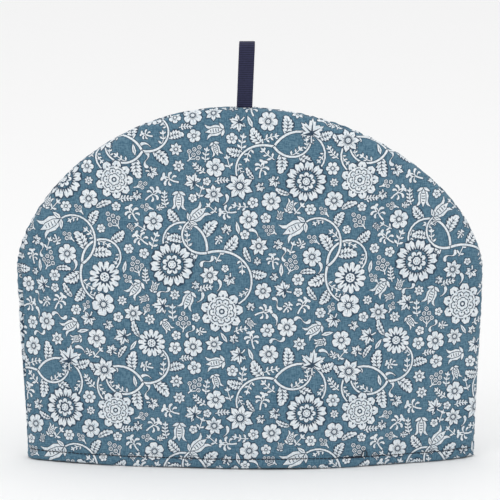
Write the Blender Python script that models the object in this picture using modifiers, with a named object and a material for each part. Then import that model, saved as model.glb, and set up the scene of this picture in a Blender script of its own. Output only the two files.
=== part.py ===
"""A padded tea cosy: a domed front and back panel joined along an arched seam and
open at the hem, with a ribbon loop caught in the top of the seam.

Metres, +Z up, +X to the right, the front faces -Y. The origin is on the floor under
the middle of the cosy. The seam between the panels lies in the plane Y = 0.
"""
import math

import bmesh
import bpy
import numpy as np
from mathutils import Vector

NAME = "tea_cosy"

# Outline of the seam, seen from the front
DOME_HEIGHT = 0.2740          # floor to the top of the seam
SHOULDER_HEIGHT = 0.1500      # where the straight sides turn into the arch
SHOULDER_HALF_WIDTH = 0.1790
HEM_HALF_WIDTH = 0.1730       # the sides draw in where the hem is spread open
ARCH_RISE_POWER = 1.65        # above 1 fills the arch out beside its shoulders
TOP_LEAN = -0.0100            # the top of the arch sits left of the middle
HEM_LEAN = 0.0010             # and the hem a little right of it

# How far the panels stand apart
OPENING_HALF_DEPTH = 0.0400   # spread of one panel at the middle of the hem
OPENING_POWER = 0.90          # how soon the spread closes towards the top
OPENING_FULLNESS = 2.4        # above 2 flattens the middle of the opened hem
EDGE_RADIUS = 0.0080          # roll of the wadding beside the seam
WALL = 0.0060                 # outer cloth, wadding and inside face together

# Unevenness of the padded cloth
FACE_WAVE = 0.0016            # slow swells over a panel's face
HEM_WAVE = 0.0018             # the hem wanders in and out along its length
PUCKER = 0.0011               # gathers beside the seam
PUCKER_REACH = 0.0220
PUCKERS_ALONG_SEAM = 27
FRONT_PHASE = 0.35            # the two panels are uneven in their own ways
BACK_PHASE = 1.30
SIDE_DENT = 0.0024            # a pinch in the left side
SIDE_DENT_HEIGHT = 0.1210
SIDE_DENT_REACH = 0.0130

# Ribbon loop
RIBBON_WIDTH = 0.0120
RIBBON_THICKNESS = 0.0010
LOOP_HEIGHT = 0.0505          # from the seam to the top of the bend
LOOP_HALF_GAP = 0.0052        # half the spread of the two legs, to their middles
LOOP_CENTRE_X = -0.0040
LOOP_LEAN = math.tan(math.radians(2.3))
LOOP_DEPTH_IN_SEAM = 0.0044   # how deep the ends are caught
LOOP_STEPS = 20               # bends along each leg

CLEARANCE = 0.0003            # between neighbouring pieces
TRIM = 0.0040                 # cloth past the floor and the seam, cut off flat

# Fineness of the panels
SIDE_STEPS = 10
ARCH_STEPS = 34
FACE_ROWS = 8
ROLL_ROWS = 5
CORE_HALF_WIDTH = 0.1000      # stretch of the hem that the rows start from
OUTLINE_SAMPLES = 300

GROUND_BLUE = (0.062, 0.160, 0.262, 1.0)
BACK_BLUE = (0.058, 0.152, 0.250, 1.0)
RIBBON_NAVY = (0.022, 0.022, 0.075, 1.0)


def clear_scene():
    for old in list(bpy.data.objects):
        bpy.data.objects.remove(old, do_unlink=True)


def make_collection(name):
    collection = bpy.data.collections.new(name)
    bpy.context.scene.collection.children.link(collection)
    return collection


def make_material(name, colour, roughness):
    material = bpy.data.materials.new(name)
    material.use_nodes = True
    shader = material.node_tree.nodes["Principled BSDF"]
    shader.inputs["Base Color"].default_value = colour
    shader.inputs["Roughness"].default_value = roughness
    shader.inputs["Metallic"].default_value = 0.0
    return material


def middle(z):
    """X of the point halfway between the two sides at a height."""
    rise = min(max(z / DOME_HEIGHT, 0.0), 1.0)
    return HEM_LEAN * (1.0 - rise) + TOP_LEAN * rise ** 6


def side_half_width(z):
    """Half width of the straight sides, which spread up to the shoulders."""
    rise = min(max(z / SHOULDER_HEIGHT, 0.0), 1.0)
    return HEM_HALF_WIDTH + (SHOULDER_HALF_WIDTH - HEM_HALF_WIDTH) * math.sin(rise * math.pi / 2) ** 2


def half_width(z):
    """Half width of the whole outline at a height."""
    rise = (z - SHOULDER_HEIGHT) / (DOME_HEIGHT - SHOULDER_HEIGHT)
    if rise <= 0.0:
        return side_half_width(z)
    return SHOULDER_HALF_WIDTH * math.sqrt(max(1.0 - rise ** ARCH_RISE_POWER, 0.0))


def outline_point(along):
    """Point (x, z) of the seam: 0 is the left hem corner and 1 the right one."""
    side_share = SIDE_STEPS / (2 * SIDE_STEPS + ARCH_STEPS)
    from_side = min(along, 1.0 - along)
    sign = -1.0 if along < 0.5 else 1.0
    if from_side < side_share:
        z = -TRIM + (SHOULDER_HEIGHT + TRIM) * from_side / side_share
        return middle(z) + sign * side_half_width(z), z
    turn = (from_side - side_share) / (0.5 - side_share) * math.pi / 2
    rise = math.sin(turn) ** (2.0 / ARCH_RISE_POWER)
    z = SHOULDER_HEIGHT + (DOME_HEIGHT - SHOULDER_HEIGHT) * rise
    return middle(z) + sign * SHOULDER_HALF_WIDTH * math.cos(turn), z


OUTLINE = np.array([outline_point(i / OUTLINE_SAMPLES) for i in range(OUTLINE_SAMPLES + 1)])


def distance_to_seam(x, z):
    """Distance in the XZ plane to the seam, and how far along it (0 to 1) the nearest point is."""
    starts = OUTLINE[:-1]
    steps = OUTLINE[1:] - starts
    share = ((np.array([x, z]) - starts) * steps).sum(axis=1) / (steps * steps).sum(axis=1)
    share = np.clip(share, 0.0, 1.0)
    gaps = np.hypot(*(starts + steps * share[:, None] - np.array([x, z])).T)
    nearest = int(gaps.argmin())
    return float(gaps[nearest]), (nearest + share[nearest]) / OUTLINE_SAMPLES


def spread(x, z):
    """How far the lens-shaped opening pushes a panel off the seam plane."""
    rise = min(max(z / DOME_HEIGHT, 0.0), 1.0)
    width = max(half_width(z), 1e-4)
    across = min(abs(x - middle(z)) / width, 1.0)
    return OPENING_HALF_DEPTH * (1.0 - rise ** 2) ** OPENING_POWER * (1.0 - across ** OPENING_FULLNESS)


def unevenness(x, z, gap, along, phase):
    """Swells of the face, the wandering hem, and gathers beside the seam."""
    inner = min(gap / 0.050, 1.0) ** 2
    swell = math.sin(21.0 * x + 13.0 * z + phase) * math.sin(17.0 * z - 9.0 * x + 2.1 * phase)
    hem = math.sin(34.0 * x + 1.7 * phase) * math.exp(-z / 0.040)
    edge = math.exp(-((gap / PUCKER_REACH) ** 2)) * min(gap / 0.004, 1.0)
    drift = 1.6 * math.sin(11.0 * along + phase)
    gather = math.sin(2 * math.pi * PUCKERS_ALONG_SEAM * along + drift + phase)
    return FACE_WAVE * swell * inner + HEM_WAVE * hem * inner + PUCKER * gather * edge


def face_depth(x, z, phase):
    """Distance of a panel's outer face from the seam plane."""
    gap, along = distance_to_seam(x, z)
    rolled = 1.0 - min(gap / EDGE_RADIUS, 1.0)
    roll = EDGE_RADIUS * math.sqrt(max(1.0 - rolled ** 2, 0.0))
    settle = 0.0
    if x < 0.0:
        near_dent = ((z - SIDE_DENT_HEIGHT) ** 2 + (gap - EDGE_RADIUS) ** 2) / SIDE_DENT_REACH ** 2
        settle = SIDE_DENT * math.exp(-near_dent) * min(gap / 0.004, 1.0)
    return roll + spread(x, z) + unevenness(x, z, gap, along, phase) - settle


def row_shares():
    """Shares of the way in from the seam to the hem's core: fine rows on the roll, then even ones."""
    rolls = [1.0 - math.cos(math.pi / 2 * i / ROLL_ROWS) for i in range(ROLL_ROWS)]
    roll_share = 0.065
    shares = [roll_share * share for share in rolls]
    shares += [roll_share + (1.0 - roll_share) * i / FACE_ROWS for i in range(FACE_ROWS + 1)]
    return shares


def panel_surface(name, facing, phase):
    """Outer face of a panel: a grid drawn out from the hem to the seam and lifted to its depth."""
    columns = 2 * SIDE_STEPS + ARCH_STEPS
    shares = row_shares()
    bpy.ops.mesh.primitive_grid_add(x_subdivisions=columns, y_subdivisions=len(shares) - 1, size=1.0)
    panel = bpy.context.active_object
    panel.name = name
    panel.data.name = name
    for vertex in panel.data.vertices:
        along = round((vertex.co.x + 0.5) * columns) / columns
        share = shares[round((vertex.co.y + 0.5) * (len(shares) - 1))]
        seam_x, seam_z = outline_point(along)
        core_x = CORE_HALF_WIDTH * (2.0 * along - 1.0)
        x = seam_x + (core_x - seam_x) * share
        z = seam_z + (-TRIM - seam_z) * share
        vertex.co = (x, facing * face_depth(x, z, phase), z)
    return panel


def point_faces_out(panel, facing):
    """Turn the surface so that its faces look away from the seam plane."""
    shape = bmesh.new()
    shape.from_mesh(panel.data)
    outward = sum(face.normal.y * face.calc_area() for face in shape.faces) * facing
    if outward < 0.0:
        bmesh.ops.reverse_faces(shape, faces=shape.faces[:])
    shape.to_mesh(panel.data)
    shape.free()


def add_box(name, low, high, collection):
    """A cutter: a box between two corners."""
    centre = (Vector(low) + Vector(high)) / 2
    bpy.ops.mesh.primitive_cube_add(size=1.0, location=centre)
    box = bpy.context.active_object
    box.name = name
    box.scale = Vector(high) - Vector(low)
    bpy.ops.object.transform_apply(location=False, rotation=False, scale=True)
    box.hide_render = True
    box.display_type = "WIRE"
    move_to(box, collection)
    return box


def move_to(piece, collection):
    for old in list(piece.users_collection):
        old.objects.unlink(piece)
    collection.objects.link(piece)


def cut(piece, cutter, operation):
    boolean = piece.modifiers.new(cutter.name, "BOOLEAN")
    boolean.operation = operation
    boolean.solver = "EXACT"
    boolean.object = cutter


def make_panel(name, facing, phase, colour, slot, collection, cutters):
    """A padded panel, trimmed flat on the floor and along the seam, with room for the ribbon ends."""
    panel = panel_surface(name, facing, phase)
    point_faces_out(panel, facing)
    move_to(panel, collection)
    panel.data.materials.append(make_material(name + "_cloth", colour, 0.85))
    wadding = panel.modifiers.new("wadding", "SOLIDIFY")
    wadding.thickness = WALL
    wadding.offset = -1.0
    wadding.use_even_offset = False
    reach = 0.3
    near, far = sorted((facing * CLEARANCE / 2, facing * reach))
    keep = add_box(name + "_trim", (-reach, near, 0.0), (reach, far, 2 * reach), cutters)
    cut(panel, keep, "INTERSECT")
    cut(panel, slot, "DIFFERENCE")
    panel.data.shade_smooth()
    panel.data.set_sharp_from_angle(angle=math.radians(40))
    return panel


def loop_bottom():
    return DOME_HEIGHT - LOOP_DEPTH_IN_SEAM


def make_slot(cutters):
    """The place in the seam that the two ribbon ends fill."""
    half_width_x = RIBBON_WIDTH / 2 + 2 * CLEARANCE
    half_depth = RIBBON_THICKNESS + 1.5 * CLEARANCE
    low = (LOOP_CENTRE_X - half_width_x, -half_depth, loop_bottom() - CLEARANCE)
    high = (LOOP_CENTRE_X + half_width_x, half_depth, DOME_HEIGHT + EDGE_RADIUS)
    return add_box("ribbon_slot", low, high, cutters)


def loop_path():
    """Side view (y, z) of the ribbon's middle line: up the front leg, over the bend and down the back."""
    pinch = RIBBON_THICKNESS / 2 + CLEARANCE / 2
    top = DOME_HEIGHT + LOOP_HEIGHT - RIBBON_THICKNESS / 2
    bend_z = top - LOOP_HALF_GAP
    leg = []
    for i in range(LOOP_STEPS + 1):
        rise = i / LOOP_STEPS
        z = loop_bottom() + (bend_z - loop_bottom()) * rise
        open_rise = min(max((z - DOME_HEIGHT) / (bend_z - DOME_HEIGHT), 0.0), 1.0)
        part = 0.5 - 0.5 * math.cos(math.pi * open_rise ** 0.8)
        leg.append((pinch + (LOOP_HALF_GAP - pinch) * part, z))
    bend_steps = LOOP_STEPS // 2
    bend = []
    for i in range(1, bend_steps):
        turn = math.pi * i / bend_steps
        bend.append((-LOOP_HALF_GAP * math.cos(turn), bend_z + LOOP_HALF_GAP * math.sin(turn)))
    front = [(-y, z) for y, z in leg]
    return front + bend + leg[::-1]


def make_ribbon(collection):
    """The ribbon loop: a flat strip laid along its path, leaning a little to the right."""
    path = loop_path()
    bpy.ops.mesh.primitive_grid_add(x_subdivisions=2, y_subdivisions=len(path) - 1, size=1.0)
    ribbon = bpy.context.active_object
    ribbon.name = "ribbon_loop"
    ribbon.data.name = "ribbon_loop"
    for vertex in ribbon.data.vertices:
        y, z = path[round((vertex.co.y + 0.5) * (len(path) - 1))]
        lean = LOOP_LEAN * max(z - DOME_HEIGHT, 0.0)
        vertex.co = (LOOP_CENTRE_X + RIBBON_WIDTH * vertex.co.x + lean, y, z)
    ribbon.data.materials.append(make_material("ribbon_grosgrain", RIBBON_NAVY, 0.6))
    thickness = ribbon.modifiers.new("thickness", "SOLIDIFY")
    thickness.thickness = RIBBON_THICKNESS
    thickness.offset = 0.0
    thickness.use_even_offset = True
    ribbon.data.shade_smooth()
    ribbon.data.set_sharp_from_angle(angle=math.radians(40))
    move_to(ribbon, collection)
    return ribbon


def build():
    clear_scene()
    pieces = make_collection(NAME)
    cutters = make_collection("cutters")
    slot = make_slot(cutters)
    make_panel("front_panel", -1.0, FRONT_PHASE, GROUND_BLUE, slot, pieces, cutters)
    make_panel("back_panel", 1.0, BACK_PHASE, BACK_BLUE, slot, pieces, cutters)
    make_ribbon(pieces)


build()
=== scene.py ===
"""Looks of the padded tea cosy: printed cotton panels, hem stitching and a ribbon loop.

Metres, +Z up, +X to the right, the front faces -Y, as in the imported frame. The print is
drawn as flat outlines in millimetres, laid over each panel's unrolled cloth and triangulated
together with it, so every petal has its own faces and no picture is used.
"""
import math

import bpy
import numpy as np
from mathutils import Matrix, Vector
from mathutils.geometry import delaunay_2d_cdt


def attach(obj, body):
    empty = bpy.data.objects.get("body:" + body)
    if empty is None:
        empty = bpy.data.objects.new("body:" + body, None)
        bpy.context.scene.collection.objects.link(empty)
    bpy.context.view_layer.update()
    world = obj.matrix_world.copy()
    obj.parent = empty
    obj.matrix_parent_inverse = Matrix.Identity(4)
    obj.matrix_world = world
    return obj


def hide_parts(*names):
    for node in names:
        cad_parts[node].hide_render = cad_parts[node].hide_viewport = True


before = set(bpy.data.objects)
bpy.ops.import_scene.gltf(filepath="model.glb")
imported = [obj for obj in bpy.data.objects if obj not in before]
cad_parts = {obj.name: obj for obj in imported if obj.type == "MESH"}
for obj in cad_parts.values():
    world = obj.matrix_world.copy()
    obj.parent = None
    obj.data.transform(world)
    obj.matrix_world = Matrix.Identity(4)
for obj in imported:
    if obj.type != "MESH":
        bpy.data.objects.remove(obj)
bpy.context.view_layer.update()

# ---- shape, as in the CAD source
DOME_HEIGHT = 0.2740  # floor to the top of the seam
SHOULDER_HEIGHT = 0.1500  # where the straight sides turn into the arch
SHOULDER_HALF_WIDTH = 0.1790
HEM_HALF_WIDTH = 0.1730
ARCH_RISE_POWER = 1.65
TOP_LEAN = -0.0100
HEM_LEAN = 0.0010
OPENING_HALF_DEPTH = 0.0400
OPENING_POWER = 0.90
OPENING_FULLNESS = 2.4
EDGE_RADIUS = 0.0080
WALL = 0.0060
FACE_WAVE = 0.0016
FACE_WAVE_RAMP = 0.050
HEM_WAVE = 0.0018
HEM_WAVE_FADE = 0.040
PUCKER = 0.0011
PUCKER_REACH = 0.0220
PUCKERS_ALONG_SEAM = 27
PHASE = {-1: 0.35, 1: 1.30}  # of the panel that faces -Y and of the other
SIDE_DENT = 0.0024
SIDE_DENT_HEIGHT = 0.1210
SIDE_DENT_REACH = 0.0130
SEAM_RAMP = 0.004  # the cloth is even at the seam itself
TRIM = 0.0040
SIDE_SHARE = 10 / 54  # share of the seam that one straight side takes
CLEARANCE = 0.0003

RIBBON_WIDTH = 0.0120
RIBBON_THICKNESS = 0.0010
LOOP_HEIGHT = 0.0505
LOOP_HALF_GAP = 0.0052
LOOP_CENTRE_X = -0.0040
LOOP_LEAN = math.tan(math.radians(2.3))
LOOP_DEPTH_IN_SEAM = 0.0044

# ---- finer relief, only in the looks
ROLL_EXTRA = EDGE_RADIUS * (math.pi / 2 - 1)  # cloth that the rolled edge takes beyond its own width
SEAM_DIP = 0.0024  # the seam is drawn in between the two rolls
SEAM_DIP_REACH = 0.0012
FINE_PUCKER = 0.00050  # short gathers beside the seam
FINE_PUCKER_REACH = 0.0085
FINE_PUCKERS_ALONG_SEAM = 83
NOTCH = 0.0013  # a nick in the left edge, beside the dent
NOTCH_REACH = 0.0040
SLIDE = 0.0056  # cloth by which the left side's seam has rolled towards the front
SLIDE_SPAN = (0.02, 0.28)  # the stretch of the seam where it has
SLIDE_REACH = 0.020
SEAM_WANDER = 0.0008  # elsewhere the seam strays this far to either side of the edge
STRAIGHT_ENDS = 0.04  # share of the seam by the hem and by the ribbon that doesn't stray
HEM_RADIUS = 0.0025  # fold of the hem
HEM_LIFT = 0.0006  # the hem's edge isn't quite level
HEM_LIFT_FADE = 0.008
STITCH_HEIGHT = 0.0080  # the topstitched line above the hem
STITCH_DIP = 0.0008
STITCH_DIP_REACH = 0.0017
HEM_PUCKER = 0.00028
HEM_PUCKER_REACH = 0.006
FURROW_RAMP = 0.006  # the furrow deepens over this much cloth from the seam
BOTTOM = HEM_RADIUS * (1 - math.pi / 2)  # the unrolled hem's lowest edge

MM = 0.001
OUTLINE_SAMPLES = 400
CHUNK = 4000  # points worked on at a time


def unit(vectors):
    """Rows of vectors, scaled to length 1."""
    return vectors / np.maximum(np.hypot(*vectors.T), 1e-9)[:, None]


def left_of(vectors):
    """Rows of flat vectors, turned left by a right angle."""
    return np.stack([-vectors[:, 1], vectors[:, 0]], axis=1)


def fading(distance, reach):
    """1 at no distance, falling off smoothly."""
    return np.exp(-((distance / reach) ** 2))


def middle(z):
    """X of the point halfway between the two sides at a height."""
    rise = np.clip(z / DOME_HEIGHT, 0.0, 1.0)
    return HEM_LEAN * (1.0 - rise) + TOP_LEAN * rise ** 6


def half_width(z):
    """Half width of the seam's outline at a height."""
    low = np.clip(z / SHOULDER_HEIGHT, 0.0, 1.0)
    rise = np.clip((z - SHOULDER_HEIGHT) / (DOME_HEIGHT - SHOULDER_HEIGHT), 0.0, 1.0)
    side = HEM_HALF_WIDTH + (SHOULDER_HALF_WIDTH - HEM_HALF_WIDTH) * np.sin(low * math.pi / 2) ** 2
    return side * np.sqrt(1.0 - rise ** ARCH_RISE_POWER)


def seam_points(along):
    """Points (x, z) of the seam: 0 is the left hem corner and 1 the right one."""
    from_side = np.minimum(along, 1.0 - along)
    sign = np.where(along < 0.5, -1.0, 1.0)
    straight = from_side < SIDE_SHARE
    turn = np.clip((from_side - SIDE_SHARE) / (0.5 - SIDE_SHARE), 0.0, 1.0) * math.pi / 2
    side_z = -TRIM + (SHOULDER_HEIGHT + TRIM) * from_side / SIDE_SHARE
    arch_z = SHOULDER_HEIGHT + (DOME_HEIGHT - SHOULDER_HEIGHT) * np.sin(turn) ** (2.0 / ARCH_RISE_POWER)
    z = np.where(straight, side_z, arch_z)
    reach = np.where(straight, half_width(side_z), SHOULDER_HALF_WIDTH * np.cos(turn))
    return np.stack([middle(z) + sign * reach, z], axis=1)


def seam_normals(along):
    """Directions in the XZ plane that point away from the cosy at the seam."""
    small = 1e-4
    ahead = seam_points(np.minimum(along + small, 1.0)) - seam_points(np.maximum(along - small, 0.0))
    return left_of(unit(ahead))


SEAM_ALONG = np.linspace(0.0, 1.0, OUTLINE_SAMPLES + 1)
SEAM = seam_points(SEAM_ALONG)
SEAM_OUT = seam_normals(SEAM_ALONG)


def beside_seam(points):
    """For each (x, z): how far inside the seam it is, where along the seam, and the way out there."""
    starts, steps = SEAM[:-1], np.diff(SEAM, axis=0)
    squares = (steps ** 2).sum(axis=1)
    found = []
    for some in np.array_split(points, len(points) // CHUNK + 1):
        reach = some[:, None, :] - starts
        share = np.clip((reach * steps).sum(axis=2) / squares, 0.0, 1.0)
        best = ((reach - steps * share[..., None]) ** 2).sum(axis=2).argmin(axis=1)
        part = share[np.arange(len(some)), best]
        way = unit(SEAM_OUT[best] * (1.0 - part)[:, None] + SEAM_OUT[best + 1] * part[:, None])
        foot = starts[best] + steps[best] * part[:, None]
        found.append((-((some - foot) * way).sum(axis=1), (best + part) / OUTLINE_SAMPLES, way))
    return [np.concatenate(column) for column in zip(*found)]


def spread(x, z):
    """How far the lens-shaped opening pushes a panel off the seam plane."""
    rise = np.clip(z / DOME_HEIGHT, 0.0, 1.0)
    across = np.minimum(np.abs(x - middle(z)) / np.maximum(half_width(z), 1e-4), 1.0)
    return OPENING_HALF_DEPTH * (1.0 - rise ** 2) ** OPENING_POWER * (1.0 - across ** OPENING_FULLNESS)


def unevenness(x, z, gap, along, phase):
    """Swells of the face, the wandering hem, and the long gathers beside the seam."""
    inner = np.minimum(gap / FACE_WAVE_RAMP, 1.0) ** 2
    swell = np.sin(21.0 * x + 13.0 * z + phase) * np.sin(17.0 * z - 9.0 * x + 2.1 * phase)
    hem = np.sin(34.0 * x + 1.7 * phase) * np.exp(-np.maximum(z, 0.0) / HEM_WAVE_FADE)
    edge = fading(gap, PUCKER_REACH) * np.minimum(gap / SEAM_RAMP, 1.0)
    drift = 1.6 * np.sin(11.0 * along + phase)
    gather = np.sin(2 * math.pi * PUCKERS_ALONG_SEAM * along + drift + phase)
    return FACE_WAVE * swell * inner + HEM_WAVE * hem * inner + PUCKER * gather * edge


def short_gathers(rolled, along, phase):
    """Small tucks that the seam pulls into the rolled edge, stronger in some stretches than others."""
    drift = 2.3 * np.sin(9.0 * along + 2 * phase) + 1.1 * np.sin(31.0 * along + phase)
    wave = np.sin(2 * math.pi * FINE_PUCKERS_ALONG_SEAM * along + 4 * drift)
    strength = 0.55 + 0.45 * np.sin(17.0 * along + 3.0 * phase)
    return FINE_PUCKER * wave * strength * fading(rolled, FINE_PUCKER_REACH)


def seam_slide(rolled, along):
    """Cloth by which the seam has rolled towards the front, fading out over the face."""
    share = np.clip((along - SLIDE_SPAN[0]) / (SLIDE_SPAN[1] - SLIDE_SPAN[0]), 0.0, 1.0)
    ends = np.minimum(np.minimum(along, 1.0 - along), np.abs(along - 0.5))
    wander = SEAM_WANDER * np.sin(44.0 * along + 0.7) * np.minimum(ends / STRAIGHT_ENDS, 1.0)
    return (SLIDE * np.sin(math.pi * share) ** 0.8 + wander) * fading(rolled, SLIDE_REACH)


def roll(gap, rolled):
    """The rolled edge's turn from the seam plane, and how far inside the edge it then is."""
    turn = np.minimum(rolled / EDGE_RADIUS, math.pi / 2)
    return turn, np.where(rolled < EDGE_RADIUS * math.pi / 2, EDGE_RADIUS * (1.0 - np.cos(turn)), gap)


def cloth(points, facing, wall=0.0):
    """Where unrolled cloth lies before its hem is folded: (x, z), depth, and cloth in from the seam."""
    phase = PHASE[facing]
    gap, along, out = beside_seam(points)
    rolled = np.maximum(gap + ROLL_EXTRA, 0.0)
    even = points + out * (gap - roll(gap, rolled)[1])[:, None]
    slide = facing * seam_slide(rolled, along)
    turn, inset = roll(gap - slide, rolled - slide)
    flat = points + out * (gap - inset)[:, None]
    x, z = flat.T
    free = np.minimum(rolled / SEAM_RAMP, 1.0)
    uneven = (unevenness(x, z, inset, along, phase) + short_gathers(rolled, along, phase)) * free
    left = x < 0.0
    near_dent = ((z - SIDE_DENT_HEIGHT) ** 2 + (inset - EDGE_RADIUS) ** 2) / SIDE_DENT_REACH ** 2
    settle = SIDE_DENT * np.exp(-near_dent) * np.minimum(inset / SEAM_RAMP, 1.0) * free * left
    notch = NOTCH * fading(z - SIDE_DENT_HEIGHT, NOTCH_REACH) * fading(rolled, EDGE_RADIUS) * left
    proud = uneven - SEAM_DIP * fading(rolled, SEAM_DIP_REACH) - notch - wall
    depth = EDGE_RADIUS * np.sin(turn) + spread(*even.T) + proud * np.sin(turn) - settle
    return flat + out * (proud * np.cos(turn))[:, None], depth, rolled


def hem_fold(z):
    """How far the hem's fold draws the cloth in, and the height at which it then lies."""
    fold = np.clip((HEM_RADIUS - z) / HEM_RADIUS, 0.0, math.pi / 2)
    return HEM_RADIUS * (1.0 - np.cos(fold)), np.where(fold > 0.0, HEM_RADIUS * (1.0 - np.sin(fold)), z)


def outer_face(points, facing):
    """The printed outer face, with the stitched line's furrow and the fold at the hem."""
    flat, depth, rolled = cloth(points, facing)
    x, z = flat.T
    furrow = STITCH_DIP * fading(z - STITCH_HEIGHT, STITCH_DIP_REACH)
    drawn = HEM_PUCKER * np.sin(890.0 * x + 3.0 * np.sin(61.0 * x + PHASE[facing]))
    near = fading(z - STITCH_HEIGHT, HEM_PUCKER_REACH)
    depth = depth - (furrow + drawn * near) * np.minimum(rolled / FURROW_RAMP, 1.0)
    tucked, height = hem_fold(z)
    return place(x, depth - tucked * np.clip(depth / (2.5 * HEM_RADIUS), 0.0, 1.0), height, facing)


def inner_face(points, facing):
    """The plain inside face: one wall's thickness in, on its own side of the seam plane."""
    flat, depth, _ = cloth(points, facing, WALL)
    tucked, height = hem_fold(flat[:, 1])
    return place(flat[:, 0], np.maximum(depth + tucked, 0.0), height, facing)


def place(x, depth, height, facing):
    """Points of a panel from their depth: the hem's small lift, and the clear gap at the seam plane."""
    wave = np.sin(57.0 * x + PHASE[facing]) * np.sin(23.0 * x + 2 * PHASE[facing])
    lift = HEM_LIFT * (1.0 + wave) * np.exp(-height / HEM_LIFT_FADE)
    return np.stack([x, facing * (depth + CLEARANCE / 2), height + lift], axis=1)


# ---- the print, in millimetres on the flat cloth

GROUND, WHITE, LINE, LINING, TURNED_UP = 0, 1, 2, 3, 4  # materials of a panel
REPEAT_U, REPEAT_V = 176.0, 166.0  # one repeat of the print
PRINT_SCALE = 1.07
EDGE = 0.52  # dark edge round a white shape
STEM = 0.85  # half width of a main stem at its root

# The left half of a petal. Columns: share of the petal's own angle, share of the flower's radius
PETALS = {
    "round": ((0.50, 0.46), (0.45, 0.66), (0.38, 0.86), (0.20, 0.98)),
    "small": ((0.50, 0.50), (0.40, 0.84), (0.17, 1.00)),
    "pointed": ((0.50, 0.48), (0.36, 0.72), (0.14, 0.84), (0.00, 1.00)),
    "notched": ((0.50, 0.56), (0.41, 0.86), (0.24, 1.00), (0.00, 0.91)),
    "slim": ((0.50, 0.58), (0.33, 0.92), (0.00, 1.00)),
    "lobe": ((0.50, 0.80), (0.22, 0.98)),
}
# The dark backing of such a petal, which shows as its edge and between petals
BACKINGS = {
    "round": ((0.50, 0.86), (0.26, 1.01)),
    "small": ((0.50, 0.84), (0.22, 1.02)),
    "pointed": ((0.50, 0.72), (0.18, 0.90), (0.00, 1.02)),
    "notched": ((0.50, 0.90), (0.26, 1.02)),
    "slim": ((0.50, 0.86), (0.00, 1.02)),
    "lobe": ((0.50, 0.84), (0.22, 1.00)),
}


def whole(left):
    """A petal's outline from its left half, without the valley on its right, which is the next one's."""
    return [(-off, reach) for off, reach in left] + [(off, reach) for off, reach in left[:0:-1] if off > 0]


def placed(shapes, u, v, angle=0.0, flip=1):
    """Shapes turned about their own origin and moved to (u, v); flip is -1 to mirror them first."""
    c, s = math.cos(angle), math.sin(angle)
    return [(ink, [(u + c * a - s * b * flip, v + s * a + c * b * flip) for a, b in points])
            for ink, points in shapes]


def polar(radius, turn, u=0.0, v=0.0):
    """The point at a radius and an angle from (u, v)."""
    return u + radius * math.cos(turn), v + radius * math.sin(turn)


def disc(radius, points=8, u=0.0, v=0.0):
    return [polar(radius, 2 * math.pi * i / points, u, v) for i in range(points)]


def ring(radius, petals, profile, first=0.0):
    """A closed outline of equal petals round the origin."""
    return [polar(radius * reach, first + 2 * math.pi * (i + off) / petals)
            for i in range(petals) for off, reach in whole(profile)]


def flower(radius, petals, kind, backing=None):
    """White petals on the dark backing that shows as their edge and between them."""
    return [(LINE, ring(radius + EDGE, petals, BACKINGS[backing or kind])),
            (WHITE, ring(radius, petals, PETALS[kind]))]


def anticlockwise(points):
    """An outline as an array, its points in anticlockwise order."""
    p = np.array(points)
    after = np.roll(p, -1, axis=0)
    return p[::-1] if (p[:, 0] * after[:, 1] - after[:, 0] * p[:, 1]).sum() < 0 else p


def grown(points, amount):
    """An outline moved outwards by an amount."""
    p = anticlockwise(points)
    normal = -left_of(unit(np.roll(p, -1, axis=0) - p))
    both = normal + np.roll(normal, 1, axis=0)
    both /= np.maximum((both ** 2).sum(axis=1), 0.9)[:, None] / 2.0
    return [tuple(q) for q in p + both * amount]


def edged(shapes, edge=EDGE):
    """Shapes over the dark edges of their white ones."""
    return [(LINE, grown(points, edge)) for ink, points in shapes if ink == WHITE] + shapes


def stroke(path, half_widths):
    """A white line of changing width along a path, with a blunt far end."""
    p = np.array(path, dtype=float)
    ahead = unit(np.gradient(p, axis=0))
    wide = np.array(half_widths, dtype=float)[:, None]
    side = left_of(ahead) * wide
    cap = p[-1] + ahead[-1] * wide[-1] * 0.8
    return [(WHITE, [tuple(q) for q in np.concatenate([p - side, [cap], (p + side)[::-1]])])]


def star(inner, outer, points, first=0.0):
    """A dark star whose rays draw the lines in a flower's throat: every third one is long."""
    out = []
    for i in range(points):
        turn = first + 2 * math.pi * i / points
        reach = outer if i % 3 == 0 else inner + (outer - inner) * 0.62
        out += [polar(inner, turn - math.pi / points), polar(reach, turn)]
    return [(LINE, out)]


def eye(radius, dots):
    """The middle of a flower: a white disc with a ring of dark dots."""
    spots = [polar(radius * 0.56, 2 * math.pi * i / dots) for i in range(dots)]
    return [(WHITE, disc(radius, 8))] + [(LINE, disc(radius * 0.20, 3, *spot)) for spot in spots]


def blossom(radius, petals, kind="round"):
    """An open flower with lines in its throat."""
    if radius < 5.5 and kind == "round":
        kind = "small"
    rays = petals * (3 if radius > 5.5 else 2)
    shapes = flower(radius, petals, kind) + star(radius * 0.27, radius * 0.66, rays)
    return shapes + eye(radius * 0.21, 4 if radius > 6 else 0)


def rosette(radius, petals):
    """A large double flower: notched petals, lines down them, and an inner ring of round ones."""
    shapes = flower(radius, petals, "notched") + star(radius * 0.54, radius * 0.80, petals * 3)
    shapes += [(GROUND, disc(radius * 0.51, 18))] + flower(radius * 0.45, 8, "small")
    return shapes + star(radius * 0.235, radius * 0.35, 8) + eye(radius * 0.19, 6)


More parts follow.
